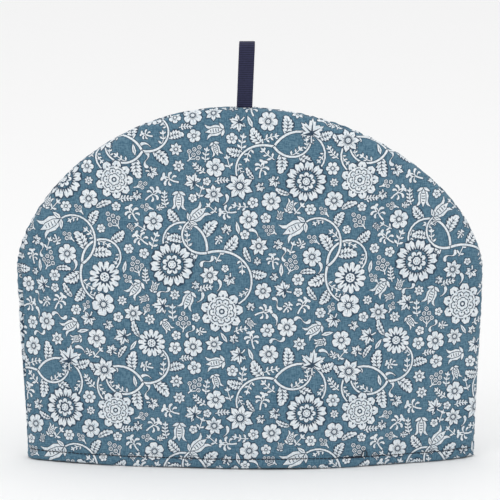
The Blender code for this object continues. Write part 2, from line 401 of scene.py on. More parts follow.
def full_flower(radius, lobes):
    """A many-layered flower: rings of lobes, one inside the other, with lines between them."""
    turned = math.pi / lobes
    lobe, backing = PETALS["lobe"], BACKINGS["lobe"]
    shapes = flower(radius, lobes, "small", "lobe") + star(radius * 0.66, radius * 0.84, lobes * 3)
    shapes += [(WHITE, disc(radius * 0.70, 2 * lobes)),
               (LINE, ring(radius * 0.62, lobes, backing, turned)),
               (WHITE, ring(radius * 0.58, lobes, lobe, turned))]
    shapes += star(radius * 0.37, radius * 0.52, lobes * 2, turned)
    return shapes + [(WHITE, disc(radius * 0.40, lobes)),
                     (LINE, ring(radius * 0.34, 6, backing)), (WHITE, ring(radius * 0.30, 6, lobe)),
                     (LINE, disc(radius * 0.15, 7)), (WHITE, disc(radius * 0.08, 5))]


def daisy(radius, petals=13):
    """A flower of narrow petals round a wide dotted eye."""
    shapes = flower(radius, petals, "slim") + star(radius * 0.37, radius * 0.72, petals)
    return shapes + eye(radius * 0.30, 6) + [(LINE, disc(radius * 0.07, 5))]


def leaf(length, half, teeth, bend):
    """A toothed leaf along +X, with its midrib and side veins drawn as one dark comb."""
    def middle_at(t):
        return length * t, bend * length * math.sin(math.pi * t)

    low, high, comb_low, comb_high = [], [], [], []
    for k in range(teeth):
        t = 0.08 + 0.84 * (k + 0.55) / teeth
        wide = half * math.sin(math.pi * t ** 0.75) ** 0.8
        tip, notch = middle_at(min(t + 0.5 / teeth, 0.97)), middle_at(min(t + 0.58 / teeth, 0.98))
        root, reach = middle_at(t - 0.4 / teeth), middle_at(min(t + 0.25 / teeth, 0.95))
        for side, comb, out in ((low, comb_low, -1), (high, comb_high, 1)):
            side.append((tip[0], tip[1] + out * wide))
            if k < teeth - 1:
                side.append((notch[0], notch[1] + out * wide * 0.60))
                comb += [(root[0], root[1] + out * 0.28), (reach[0], reach[1] + out * wide * 0.66),
                         (root[0] + 0.5 + length * 0.03, root[1] + out * 0.24)]
    base = [(length * 0.08, high[0][1] * 0.5), (0.0, 0.0), (length * 0.08, low[0][1] * 0.5)]
    tips = grown(base + low[::2] + [middle_at(1.0)] + high[::-2], EDGE)
    return [(LINE, tips), (WHITE, base + low + [middle_at(1.0)] + high[::-1]),
            (LINE, [(0.3, 0.0)] + comb_low + [middle_at(0.93)] + comb_high[::-1])]


def bud(length, half):
    """A small plain leaf along +X, with a slit down its middle when there is room."""
    shapes = edged([(WHITE, [(0, 0), (length * 0.35, -half), (length * 0.72, -half * 0.72), (length, 0),
                             (length * 0.72, half * 0.72), (length * 0.35, half)])])
    slit = [(length * 0.12, 0), (length * 0.45, -0.26), (length * 0.80, 0), (length * 0.45, 0.26)]
    return shapes + [(LINE, slit)] if half > 1.2 else shapes


def sprig(length, pairs, bend, share=0.34):
    """A thin stem along +X with small leaves in pairs and one at the end, as a single outline."""
    def side(out):
        points = []
        for k in range(pairs):
            t = 0.14 + 0.62 * k / max(pairs - 1, 1)
            size = length * share * (1.0 - 0.35 * t)
            c, s = polar(1.0, out * (0.95 - 0.25 * t) + bend * 2.2 * (0.5 - t))
            root = (length * t, bend * length * math.sin(math.pi * t * 0.9) + out * 0.32)
            for far, wide in ((0.0, 0.0), (0.55, 0.22), (1.0, 0.0), (0.55, -0.24)):
                points.append((root[0] + size * (far * c - wide * s * out),
                               root[1] + size * (far * s + wide * c * out)))
            points.append((root[0] + 0.6, root[1]))
        return points
    end = (length * 0.80, bend * length * math.sin(math.pi * 0.72))
    size = length * share * 0.85
    tip = [(end[0] + size * 0.4, end[1] - size * 0.24), (end[0] + size, end[1]),
           (end[0] + size * 0.4, end[1] + size * 0.24)]
    return edged([(WHITE, [(0.0, 0.40), (0.0, -0.40)] + side(-1) + tip + side(1)[::-1])], EDGE * 0.9)


# The left half of a palmate leaf's lobe. Columns: degrees off its rib, share of its length
LOBE = ((23, 0.50), (15, 0.80), (9, 0.72), (0, 1.00))


def palmate(radius):
    """A five-lobed leaf on a short stalk, its ribs drawn as one dark star."""
    outline, ribs = [(-radius * 0.10, -radius * 0.10)], []
    for k, reach in enumerate((0.74, 0.92, 1.0, 0.92, 0.74)):
        rib = math.radians(54 * (k - 2))
        outline += [polar(radius * 1.15 * reach * share, rib + math.radians(off))
                    for off, share in whole(LOBE)]
        ribs += [polar(radius * 0.14, rib + math.radians(-27)), polar(radius * (reach * 0.92), rib)]
    outline.append((-radius * 0.10, radius * 0.10))
    stalk = stroke([(-radius * 0.75, -0.6), (-radius * 0.4, 0.0), (0.0, 0.0)], [0.5, 0.45, 0.4])
    shapes = edged(stalk + [(WHITE, outline)]) + [(LINE, ribs + [(-radius * 0.25, 0.0)])]
    return placed(shapes, -radius * 0.20, 0)


def berries(size, rows=3):
    """A bunch of ringed berries in rows, on fine stalks that meet at the origin."""
    spots = [(size * (2.4 + 2.05 * row), (k - (rows - row - 1) / 2) * size * 2.3)
             for row in range(rows) for k in range(rows - row)]
    stalks = stroke([(-size * 1.4, size * 0.3), (0.0, 0.0), (size * 2.0, 0.0)], [0.42, 0.40, 0.36])
    for a, b in (spots[0], spots[rows - 1]):
        stalks += stroke([(0.0, b * 0.06), (a * 0.5, b * 0.62), (a, b)], [0.36, 0.34, 0.32])
    shapes = edged(stalks, EDGE * 0.8)
    for spot in spots:
        shapes += [(LINE, disc(size + EDGE * 0.8, 6, *spot)), (WHITE, disc(size, 6, *spot)),
                   (LINE, disc(size * 0.66, 5, *spot)), (WHITE, disc(size * 0.34, 3, *spot))]
    return shapes


def comma(length, half, curl):
    """A drop that starts as a hairline and curls into a round head."""
    path, heading = [(0.0, 0.0)], -curl * 0.40
    for i in range(1, 6):
        heading += curl / 5 * (0.5 + i / 5)
        path.append(polar(length / 5, heading, *path[-1]))
    return stroke(path, [0.16] + [half * wide for wide in (0.16, 0.42, 0.74, 1.0, 0.80)])


def scroll(length, half):
    """Two drops that grow from one point and curl opposite ways."""
    arm = comma(length * 0.56, half, 2.0)
    return edged(placed(arm, length / 2, 0) + placed(arm, length / 2, 0, math.pi))


def spray(radius):
    """Curled commas that fan out from one stalk."""
    shapes = stroke([(-radius * 0.9, 0.0), (-radius * 0.4, radius * 0.05), (0.2, 0.0)], [0.62, 0.55, 0.50])
    for turn, size in ((0.15, 1.0), (0.95, 0.82), (1.75, 0.62)):
        arm = comma(radius * 1.15 * size, radius * 0.155 * (0.5 + size / 2), 1.9)
        shapes += placed(arm, 0, 0, turn - 0.15) + placed(arm, -0.1 * radius * turn, 0, -turn, -1)
    return edged(shapes, EDGE * 0.8)


# Halves of a bell's cup, and its heart-shaped front petal. Columns: share of its length, of its half width
CUP = ((0.02, 0.0), (0.12, 0.52), (0.42, 0.86), (0.72, 0.74),
       (0.86, 0.92), (1.0, 1.22), (0.92, 0.62), (0.74, 0.30))
HEART = ((0.06, 0.0), (0.34, -0.36), (0.70, -0.40), (1.03, 0.0), (0.70, 0.40), (0.34, 0.36))
STRIPES = (0.22, 0.27, 0.27, 0.18)  # half widths of the stripes across the cup, as shares of its own


def bell(radius):
    """A half-open flower along +X: a striped cup, two turned-out petals and two sepals."""
    long, half = radius * 1.9, radius * 0.66
    shapes = edged([(WHITE, [(long * a, out * half * b) for a, b in CUP]) for out in (-1, 1)])
    shapes += edged([(WHITE, [(long * a, half * b) for a, b in HEART])])
    for k, share in enumerate(STRIPES):
        a, wide = long * (0.30 + 0.14 * k), half * share
        shapes.append((LINE, [(a - 0.30, -wide), (a + 0.30, -wide), (a + 0.42, 0), (a + 0.30, wide),
                              (a - 0.30, wide), (a - 0.16, 0)]))
    for out in (-1, 1):
        shapes += placed(bud(long * 0.42, half * 0.24), 0, 0, out * 1.1)
    return placed(shapes, -long / 2, 0)


def vine(start, heading, length, curl, tighten, steps=16):
    """A stem that bends more and more: its points, their headings and its shapes."""
    path, turns = [start], [heading]
    for i in range(steps):
        heading += curl / steps * (1 + tighten * (i + 0.5) / steps)
        path.append(polar(length / steps, heading, *path[-1]))
        turns.append(heading)
    return path, turns, edged(stroke(path, [STEM * (1 - 0.35 * i / steps) for i in range(steps + 1)]))


class Room:
    """How far each spot of one repeat is from the nearest white shape, on a grid of 1 mm cells."""
    REACH = 14

    def __init__(self):
        self.cells = (int(REPEAT_U), int(REPEAT_V))
        self.gap = np.full(self.cells, float(self.REACH))

    def fill(self, shapes):
        for ink, points in shapes:
            if ink != WHITE:
                continue
            p = np.array(points)
            centre = p.mean(axis=0)
            q = np.concatenate([p, (p + np.roll(p, 1, axis=0)) / 2, (p + centre) / 2, centre[None]])
            low = np.floor(q.min(axis=0)).astype(int) - self.REACH
            high = np.ceil(q.max(axis=0)).astype(int) + self.REACH
            u, v = np.arange(low[0], high[0] + 1), np.arange(low[1], high[1] + 1)
            far = np.hypot(u[:, None, None] - q[:, 0], v[None, :, None] - q[:, 1]).min(axis=2)
            cell = np.ix_(u % self.cells[0], v % self.cells[1])
            self.gap[cell] = np.minimum(self.gap[cell], far)

    def widest(self):
        i, j = np.unravel_index(int(self.gap.argmax()), self.cells)
        return float(i), float(j), float(self.gap[i, j])

    def long_way(self, u, v, length):
        """The angle through (u, v) along which a narrow shape of this length has most room."""
        best = (-99.0, 0.0)
        for k in range(16):
            angle = math.pi * k / 16
            ends = [self.gap[int(u + t * length * math.cos(angle)) % self.cells[0],
                             int(v + t * length * math.sin(angle)) % self.cells[1]]
                    for t in (-0.5, -0.3, 0.3, 0.5)]
            best = max(best, (min(ends), angle))
        return best[1]


HEADS = {
    "rosette": lambda size: rosette(size, 10),
    "full": lambda size: full_flower(size, 9),
    "daisy": daisy,
    "bell": lambda size: placed(bell(size), size * 0.3, 0),
    "blossom": lambda size: blossom(size, 6),
    "star": lambda size: blossom(size, 7, "pointed"),
    "five": lambda size: blossom(size, 5),
    "palmate": palmate,
    "spray": spray,
    "bunch": lambda size: placed(berries(size * 0.24), -size * 0.9, 0),
}

# Main stems. Columns: root u, root v, heading in degrees, length, bend, tightening, flower, its radius
STEMS = (
    (10, 12, 78, 60, 2.6, 0.9, "rosette", 15.5),
    (10, 12, 22, 66, -2.2, 0.8, "full", 15.0),
    (10, 12, 196, 36, -2.1, 0.6, "bell", 8.0),
    (96, 2, 100, 58, -2.9, 0.9, "daisy", 11.5),
    (96, 2, 30, 56, 2.3, 0.7, "bell", 9.5),
    (96, 2, 250, 30, 1.2, 0.4, "five", 8.5),
    (58, 88, 62, 64, -2.4, 0.9, "rosette", 14.5),
    (58, 88, 160, 42, 1.5, 0.9, "star", 10.0),
    (58, 88, 300, 36, 2.0, 0.5, "palmate", 10.0),
    (140, 84, 112, 60, 2.5, 0.9, "full", 13.5),
    (140, 84, 350, 40, 1.9, 0.9, "daisy", 10.0),
    (140, 84, 246, 36, -2.0, 0.5, "star", 9.0),
)
LEAF_STEPS = (3, 6, 9, 12)  # points of a stem where its leaves grow
LEAF_LEAN = 0.95  # radians off the stem

# Wide filling. Columns: least room, most room used, the kinds dealt out in turn
WIDE_FILLING = (
    (7.4, 9.2, ("spray", "palmate", "blossom", "bunch", "bell", "five", "spray", "star")),
    (5.2, 7.2, ("palmate", "five", "spray", "bell", "star", "palmate", "blossom")),
)
NARROW_GAP, LEAST_GAP = 4.0, 3.5  # room for a small motif, and for a single leaf or drop
MARGIN = 2.2  # ground left round a filling motif
DEAL_TURN = 2.399  # radians that each wide motif is turned on by


def narrow_filling(dealt, gap, u, v, angle):
    """A small motif that lies along the roomiest way through (u, v)."""
    length = gap * 2.4
    start = (u - length / 2 * math.cos(angle), v - length / 2 * math.sin(angle), angle)
    if gap < NARROW_GAP:
        kinds = (edged(comma(length, gap * 0.32, 1.5)), sprig(length, 2, 0.1, 0.42), bud(length, gap * 0.38))
    else:
        kinds = (sprig(length, 3, 0.08, 0.36), leaf(length, gap * 0.50, 4, 0.08),
                 placed(blossom(gap - 1.3, 5), length / 2, 0, dealt), sprig(length, 4, 0.12, 0.30),
                 placed(berries(gap * 0.31, 2), length * 0.12, 0), scroll(length, gap * 0.26))
    return placed(kinds[dealt % len(kinds)], *start)


def draw_repeat():
    """One repeat: scrolling stems that end in large flowers, leaves along them, then small filling."""
    stems, leaves, heads, filling = [], [], [], []
    for u, v, degrees, length, bend, tighten, head, size in STEMS:
        path, turns, shapes = vine((u, v), math.radians(degrees), length, bend, tighten)
        stems += shapes
        heads += placed(HEADS[head](size), *polar(size * 0.7, turns[-1], *path[-1]), turns[-1])
        for k, at in enumerate(LEAF_STEPS):
            lean = math.copysign(1.0, bend) * (-1 if k % 2 else 1)
            size = 14.5 - 1.2 * k
            new = sprig(size * 0.85, 3, 0.12 * lean) if k % 2 else leaf(size, size * 0.30, 5, 0.10 * lean)
            leaves += placed(new, *path[at], turns[at] - lean * LEAF_LEAN)
    room = Room()
    room.fill(stems + leaves + heads)

    dealt = 0
    u, v, gap = room.widest()
    while gap > LEAST_GAP:
        dealt += 1
        wide = next((row for row in WIDE_FILLING if gap > row[0]), None)
        if wide:
            size = min(gap, wide[1]) - MARGIN
            new = placed(HEADS[wide[2][dealt % len(wide[2])]](size), u, v, dealt * DEAL_TURN)
        else:
            new = narrow_filling(dealt, gap, u, v, room.long_way(u, v, gap * 2.8))
        room.fill(new)
        filling += new
        u, v, gap = room.widest()
    return filling + leaves + stems + heads


# ---- the panels' cloth as meshes

FLAT_STEP = 0.002
FLAT_LOW = np.array([-0.200, -0.010])
FLAT_CELLS = (201, 151)
# Free points of a face. Columns: mm of cloth from the seam to each row beside it, points in such a row,
# mm above the floor of each row along the hem, their step, then the rest's step, lowest height and way
# from the seam
OUTER_POINTS = ((0.4, 0.9, 1.6, 2.7, 4.2, 6.0, 8.2, 11.0, 14.0), 300,
                (-0.6, 0.3, 1.2, 2.4, 4.6, 6.2, 7.2, 8.0, 8.8, 10.0, 11.8), 0.0028, 0.0075, 0.0140, 0.0155)
INNER_POINTS = ((2.5, 5.0, 8.0, 12.0), 145, (-0.4, 0.7, 2.0, 4.0), 0.006, 0.0090, 0.0090, 0.0170)
ROW_SHARE = 0.87  # height of a row of even triangles, in steps
HEM_REACH, FACE_REACH = 0.172, 0.19  # half widths that the level rows cover
EDGE_SAMPLES, HEM_SAMPLES = 420, 180
ABOVE_HEM = 0.0004  # the rows beside the seam stop this far above the cloth's lower edge
SPARE = 0.006  # how far past a panel the rough test reaches
REPEATS_ACROSS, REPEATS_UP = range(-2, 4), range(-1, 4)
LEAST_SIDE, INWARDS = 0.05, 0.01  # mm: a closing edge's least length, and how far its left side is tested
ALONG_SIDE = (0.08, 0.5, 0.92)  # shares of it where that is tested
WELD = 1e-4  # mm within which the triangulation joins corners
HEM_TURN = 0.0110  # the printed cloth is folded up inside, past the stitched line
TURN_POINTS = 61  # along the turned-up cloth's edge
MAP_SIZE = 0.400  # cloth that the bake map's side covers
MAP_BELOW = 0.006  # cloth between the map's lower side and the floor
OUTER_TOP, LINING_FROM, LINING_TO = 0.75, 0.76, 0.99  # the inside face takes the map's upper strip
PRINT_SHIFT = {-1: (-41.0, -22.0), 1: (-118.0, -63.0)}


def flat_maps():
    """Tables of the flat cloth's (u, v) over the unrolled face: lengths along the opened-out panel."""
    x = FLAT_LOW[0] + FLAT_STEP * np.arange(FLAT_CELLS[0])
    z = FLAT_LOW[1] + FLAT_STEP * np.arange(FLAT_CELLS[1])
    depth = spread(*np.meshgrid(x, z, indexing="ij"))
    steps_x = np.hypot(np.diff(depth, axis=0), FLAT_STEP)
    steps_z = np.hypot(np.diff(depth, axis=1), FLAT_STEP)
    u = np.concatenate([np.zeros((1, len(z))), np.cumsum(steps_x, axis=0)])
    v = np.concatenate([np.zeros((len(x), 1)), np.cumsum(steps_z, axis=1)], axis=1)
    centre, floor = np.abs(x).argmin(), np.abs(z).argmin()
    return np.stack([u - u[centre], v - v[:, floor][:, None]])


FLAT = flat_maps()


def flattened(points):
    """The flat cloth's (u, v) of unrolled points (x, z)."""
    cell = np.clip((points - FLAT_LOW) / FLAT_STEP, 0.0, np.array(FLAT_CELLS) - 1.001)
    low = np.floor(cell).astype(int)
    i, j = low.T
    across, up = (cell - low).T
    near = FLAT[:, i, j] * (1 - across) + FLAT[:, i + 1, j] * across
    far = FLAT[:, i, j + 1] * (1 - across) + FLAT[:, i + 1, j + 1] * across
    return (near * (1 - up) + far * up).T


def unflattened(flat):
    """The unrolled points (x, z) of the flat cloth's (u, v)."""
    points = flat.copy()
    for _ in range(6):
        points += flat - flattened(points)
    return points


def rough_inside(points):
    """Which unrolled points may lie on a panel, with a little to spare."""
    x, z = points.T
    reach = half_width(np.maximum(z - SPARE, 0.0)) + SPARE
    return (np.abs(x - middle(z)) < reach) & (z > BOTTOM - 0.001) & (z < DOME_HEIGHT + SPARE)


def cloth_edge():
    """The unrolled panel's outline, counter-clockwise from the left hem corner."""
    start = (BOTTOM + TRIM) / (SHOULDER_HEIGHT + TRIM) * SIDE_SHARE
    along = np.linspace(1.0 - start, start, EDGE_SAMPLES)
    arch = seam_points(along) + seam_normals(along) * ROLL_EXTRA
    arch[0, 1] = arch[-1, 1] = BOTTOM
    hem = np.linspace(arch[-1, 0], arch[0, 0], HEM_SAMPLES)[1:-1]
    return np.concatenate([arch, np.stack([hem, np.full(len(hem), BOTTOM)], axis=1)])


def level_rows(heights, reach, step):
    """Points in level rows, every other row moved on by half a step."""
    x = np.arange(-reach, reach, step)
    return np.concatenate([np.stack([x + step / 2 * (k % 2), np.full(len(x), z)], axis=1)
                           for k, z in enumerate(heights)])


def free_points(seam_rows, count, hem_rows, hem_step, face_step, low, from_seam):
    """Points for the triangles: rows beside the seam, level rows above the hem, then even ones."""
    beside = []
    for k, row in enumerate(seam_rows):
        along = (np.arange(count) + 0.5 * (k % 2) + 0.25) / count
        beside.append(seam_points(along) - seam_normals(along) * (row * MM - ROLL_EXTRA))
    beside = np.concatenate(beside)
    rest = level_rows(np.arange(low, DOME_HEIGHT, face_step * ROW_SHARE), FACE_REACH, face_step)
    rest = rest[rough_inside(rest)]
    return np.concatenate([beside[beside[:, 1] > BOTTOM + ABOVE_HEM],
                           level_rows(np.array(hem_rows) * MM, HEM_REACH, hem_step),
                           rest[beside_seam(rest)[0] + ROLL_EXTRA > from_seam]])


def inside_polygon(points, polygon):
    """Which points lie inside a closed outline, by the even-odd rule."""
    starts, ends = polygon, np.roll(polygon, -1, axis=0)
    slope = (ends[:, 0] - starts[:, 0]) / np.where(ends[:, 1] == starts[:, 1], 1.0, ends[:, 1] - starts[:, 1])
    inside = []
    for some in np.array_split(points, len(points) // CHUNK + 1):
        x, z = some[:, :1], some[:, 1:]
        crosses = (starts[:, 1] > z) != (ends[:, 1] > z)
        inside.append((crosses & (x < slope * (z - starts[:, 1]) + starts[:, 0])).sum(axis=1) % 2 == 1)
    return np.concatenate(inside)


def fillable(shapes):
    """The shapes as the triangulation fills them: anticlockwise, the inside left of the closing edge."""
    ready = []
    for ink, outline in shapes:
        points = anticlockwise(outline)
        ahead = np.roll(points, -1, axis=0) - points
        length = np.hypot(*ahead.T)
        good = length > LEAST_SIDE
        for share in ALONG_SIDE:
            good &= inside_polygon(points + ahead * share + left_of(unit(ahead)) * INWARDS, points)
        if good.any():
            ready.append((ink, np.roll(points, -(int((length * good).argmax()) + 1), axis=0)))
    return ready


def triangulated(edge, spare, shapes):
    """Triangles inside an edge that respect it and the shapes: (points, triangles, each one's top shape)."""
    start, faces = len(edge), []
    for _, shape in shapes:
        faces.append(list(range(start, start + len(shape))))
        start += len(shape)
    edges = [(i, (i + 1) % len(edge)) for i in range(len(edge))]
    corners = np.concatenate([edge] + [shape for _, shape in shapes] + [spare]) / MM
    out = delaunay_2d_cdt([Vector(corner) for corner in corners], edges, faces, 0, WELD, True)
    flat = np.array([tuple(corner) for corner in out[0]]) * MM
    triangles = np.array(out[2])
    top = np.array([max(origins) if origins else -1 for origins in out[5]])
    keep = inside_polygon(flat[triangles].mean(axis=1), edge)
    used, triangles = np.unique(triangles[keep], return_inverse=True)
    return flat[used], triangles.reshape(-1, 3), top[keep]


def border(triangles):
    """The one loop of corners around a set of counter-clockwise triangles."""
    sides = np.concatenate([triangles[:, [0, 1]], triangles[:, [1, 2]], triangles[:, [2, 0]]])
    both = {tuple(side) for side in sides.tolist()}
    after = {a: b for a, b in both if (b, a) not in both}
    loop = [next(iter(after))]
    while after[loop[-1]] != loop[0]:
        loop.append(after[loop[-1]])
    assert len(loop) == len(after), "the cloth's border is one loop"
    return np.array(loop)


def turned_up(rim):
    """The strip along the hem of the inside face that the turned-up cloth covers."""
    low = rim[:, 1] < HEM_TURN
    first = int(np.argmax(low & ~np.roll(low, 1)))
    strip = np.roll(rim, -first, axis=0)[np.roll(low, -first)]
    edge = np.linspace(strip[-1], strip[0], TURN_POINTS)[1:-1]
    return [(TURNED_UP, np.concatenate([strip, edge]))]


def printed_shapes(repeat, facing):
    """The print's outlines where they cross a panel, on its unrolled cloth: (ink, points)."""
    shapes = []
    every = np.concatenate([outline for _, outline in repeat])
    cuts = np.cumsum([len(outline) for _, outline in repeat])[:-1]
    for across in REPEATS_ACROSS:
        for up in REPEATS_UP:
            shift = np.array([across * REPEAT_U, up * REPEAT_V]) + PRINT_SHIFT[facing]
            laid = unflattened((every + shift) * PRINT_SCALE * MM)
            near = np.split(rough_inside(laid), cuts)
            laid[:, 0] *= -facing
            for (ink, _), outline, close in zip(repeat, np.split(laid, cuts), near):
                if close.any():
                    shapes.append((ink, outline if facing < 0 else outline[::-1]))
    return shapes


def add_object(name, data):
    """A new object in the scene."""
    added = bpy.data.objects.new(name, data)
    bpy.context.scene.collection.objects.link(added)
    return added


def add_mesh(name, points, faces, materials, slots=None, uv=None):
    """A smooth-shaded piece. Its faces' material slots and the bake's map are set where given."""
    mesh = bpy.data.meshes.new(name)
    mesh.from_pydata(points, [], faces)
    for material in materials:
        mesh.materials.append(material)
    if slots is not None:
        mesh.polygons.foreach_set("material_index", slots.astype(np.int32))
    if uv is not None:
        mesh.uv_layers.new(name="OFBake").data.foreach_set("uv", uv.astype(np.float32).ravel())
    mesh.validate()
    mesh.shade_smooth()
    return add_object(name, mesh)


def make_panel(name, facing, repeat, materials):
    """A panel: its printed face cut along the print, its plain inside face, and the rim between them."""
    shapes = printed_shapes(repeat, facing)
    face, face_tris, top = triangulated(cloth_edge(), free_points(*OUTER_POINTS), shapes)
    inks = np.array([ink for ink, _ in shapes] + [GROUND])[top]
    loop = border(face_tris)
    lining, lining_tris, covered = triangulated(face[loop], free_points(*INNER_POINTS), turned_up(face[loop]))
    rim = border(lining_tris)
    loop = np.roll(loop, -int(np.hypot(*(face[loop] - lining[rim[0]]).T).argmin()))

    on_hem = face[loop][:, 1] < BOTTOM + 1e-7
    shared = ~(on_hem & np.roll(on_hem, 1) & np.roll(on_hem, -1))
    renamed = len(face) + np.arange(len(lining))
    renamed[rim[shared]] = loop[shared]
    strip = []
    for k in np.flatnonzero(on_hem & np.roll(on_hem, -1)):
        n = (k + 1) % len(loop)
        a, b, c, d = loop[k], loop[n], renamed[rim[n]], renamed[rim[k]]
        strip += [(b, a, d)] if a != d else []
        strip += [(b, d, c)] if b != c else []
    triangles = np.concatenate([face_tris, renamed[lining_tris][:, ::-1], strip])

    where = np.concatenate([flattened(face), flattened(lining)])
    uv = np.stack([where[:, 0] + MAP_SIZE / 2, where[:, 1] + MAP_BELOW], axis=1) / MAP_SIZE
    inner_uv = uv.copy()
    inner_uv[:, 1] = LINING_FROM + uv[:, 1] * (LINING_TO - LINING_FROM) / OUTER_TOP
    uv_of = np.concatenate([uv[face_tris], inner_uv[len(face) + lining_tris[:, ::-1]],
                            inner_uv[np.array(strip)]])
    in_seam = np.isin(lining_tris, rim[shared]).any(axis=1)
    inside = np.where(in_seam | (covered == 0), TURNED_UP, LINING)
    slots = np.concatenate([inks, inside, np.full(len(strip), TURNED_UP)])
    if facing > 0:
        triangles, uv_of = triangles[:, ::-1], uv_of[:, ::-1]
    used, triangles = np.unique(triangles, return_inverse=True)
    points = np.concatenate([outer_face(face, facing), inner_face(lining, facing)])[used]
    return add_mesh(name, points.tolist(), triangles.reshape(-1, 3).tolist(), materials, slots, uv_of)


# ---- stitching

STITCH_LENGTH = 0.0027
STITCH_PITCH = 0.0030
STITCH_RADIUS = 0.00040
STITCH_SIDES = 6
STITCH_TILT = 0.00018  # every other stitch rises by this much, and the rest fall
HEM_ENDS = 0.0025  # the line starts and ends this far from the panel's sides
# How the line strays from its height. Columns: metres, radians for each metre along X
WANDER = ((0.00022, 47.0), (0.00012, 211.0))
PROBE = 3e-4  # step for a face's slope
INSIDE_STITCH_REACH = 0.155  # the stitched line shows inside too, up to where the panels meet
# Rings of one stitch. Columns: share of its length, share of its radius, depth below the cloth in radii
STITCH_RINGS = ((0.00, 0.35, 1.0), (0.08, 0.80, -0.1), (0.30, 1.00, -0.70), (0.70, 1.00, -0.70),
                (0.92, 0.80, -0.1), (1.00, 0.35, 1.0))
# Sewn over again at the end of the seam. Columns: start and end along X, height above the first row
BACKTACK = ((0.0715, 0.0835, 0.00042), (0.0730, 0.0850, -0.00040))
BACKTACK_PITCH = STITCH_PITCH * 0.92
# A loose loop of thread. Columns: X, height on the cloth, way out from it
LOOSE_LOOP = ((0.0852, 0.0078, 0.0000), (0.0850, 0.0098, 0.0008), (0.0858, 0.0122, 0.0013),
              (0.0874, 0.0132, 0.0015), (0.0889, 0.0120, 0.0013), (0.0893, 0.0098, 0.0008),
              (0.0890, 0.0078, 0.0000))
LOOP_STEPS = 4  # from one of those to the next


def on_face(face, x, z, facing):
    """A point on a panel's outer or inside face, and the unit normal that leads away from the wall."""
    here, right, up = face(np.array([(x, z), (x + PROBE, z), (x, z + PROBE)]), facing)
    normal = np.cross(right - here, up - here)
    normal /= np.linalg.norm(normal)
    away = facing if face is outer_face else -facing
    return Vector(here), Vector(normal) * (1.0 if normal[1] * away > 0 else -1.0)


def quads(grid):
    """Four-cornered faces between the rows and columns of a grid of corner numbers."""
    return np.stack([grid[:-1, 1:], grid[1:, 1:], grid[1:, :-1], grid[:-1, :-1]], axis=-1).reshape(-1, 4)


def tube(points, normals, radii):
    """Corners and faces of a closed tube along a path."""
    last = len(points) - 1
    corners = []
    for i, (point, normal, radius) in enumerate(zip(points, normals, radii)):
        ahead = (points[min(i + 1, last)] - points[max(i - 1, 0)]).normalized()
        side = ahead.cross(normal).normalized()
        other = side.cross(ahead)
        for k in range(STITCH_SIDES):
            c, s = polar(1.0, 2 * math.pi * k / STITCH_SIDES)
            corners.append(point + (side * c + other * s) * radius)
    rings = np.arange(len(corners)).reshape(-1, STITCH_SIDES)
    around = quads(np.concatenate([rings, rings[:, :1]], axis=1)[::-1, ::-1].T)
    return corners, around.tolist() + [rings[0].tolist(), rings[-1][::-1].tolist()]


def one_stitch(face, x0, x1, height, facing, tilt):
    """One stitch between two points of the furrow, its ends pulled into the cloth."""
    points, normals, radii = [], [], []
    for share, wide, deep in STITCH_RINGS:
        point, normal = on_face(face, x0 + (x1 - x0) * share, height + tilt * (share - 0.5), facing)
        points.append(point - normal * deep * STITCH_RADIUS)
        normals.append(normal)
        radii.append(STITCH_RADIUS * wide)
    return tube(points, normals, radii)


def stitch_rows(facing):
    """Start, end and height of every stitch of a panel's hem."""
    rows = []
    reach = HEM_HALF_WIDTH - HEM_ENDS
    count = int(2 * reach / STITCH_PITCH)
    for i in range(count):
        start = -reach + 2 * reach * i / count
        height = STITCH_HEIGHT + sum(strays * math.sin(wave * start) for strays, wave in WANDER)
        rows.append((start, start + STITCH_LENGTH, height))
    for x, end, above in BACKTACK if facing < 0 else ():
        while x < end:
            rows.append((x, x + STITCH_LENGTH, STITCH_HEIGHT + above))
            x += BACKTACK_PITCH
    return rows


def loose_loop(facing):
    """A short loop of thread that stands up where the sewing ended."""
    knots = []
    for x, z, proud in LOOSE_LOOP:
        point, normal = on_face(outer_face, x, z, facing)
        knots.append(point + normal * proud)
    ends = [knots[0]] + knots + [knots[-1]]
    points = []
    for before, a, b, after in zip(ends, ends[1:], ends[2:], ends[3:]):
        for k in range(LOOP_STEPS):
            t = k / LOOP_STEPS
            points.append(0.5 * (2 * a + (b - before) * t + (2 * before - 5 * a + 4 * b - after) * t * t
                                 + (3 * a - before - 3 * b + after) * t ** 3))
    points.append(knots[-1])
    return tube(points, [Vector((0, facing, 0))] * len(points), [STITCH_RADIUS] * len(points))


def make_stitches(name, facing, material):
    """The topstitched line above a panel's hem, as separate stitches."""
    rows = stitch_rows(facing)
    inside = [row for row in rows if abs(row[0]) < INSIDE_STITCH_REACH]
    parts = [one_stitch(face, *row, facing, STITCH_TILT * (-1) ** i)
             for face, some in ((outer_face, rows), (inner_face, inside)) for i, row in enumerate(some)]
    if facing < 0:
        parts.append(loose_loop(facing))
    corners, faces = [], []
    for new_corners, new_faces in parts:
        faces += [[i + len(corners) for i in face] for face in new_faces]
        corners += new_corners
    return add_mesh(name, corners, faces, [material])


# ---- ribbon

RIB_PITCH = 0.00170  # cross ribs of the grosgrain
RIB_HEIGHT = 0.00014
STEPS_PER_RIB = 4
WOVEN_EDGE = 0.22  # half thickness of the strip's very edges, as a share of its thickness
# Across the ribbon. Columns: share of the half width, rib strength there (none on the woven edges)
RIBBON_COLUMNS = ((-1.00, 0.0), (-0.95, 0.0), (-0.90, 0.4), (-0.84, 1.0), (-0.40, 1.0), (0.0, 1.0),
                  (0.40, 1.0), (0.84, 1.0), (0.90, 0.4), (0.95, 0.0), (1.00, 0.0))
LEG_POINTS, BEND_POINTS = 60, 26
RIBBON_MAP_LOW, RIBBON_MAP_LENGTH = 0.02, 0.96  # where the ribbon lies on the bake map, upwards
RIBBON_MAP_HALF = 0.20  # half its width there
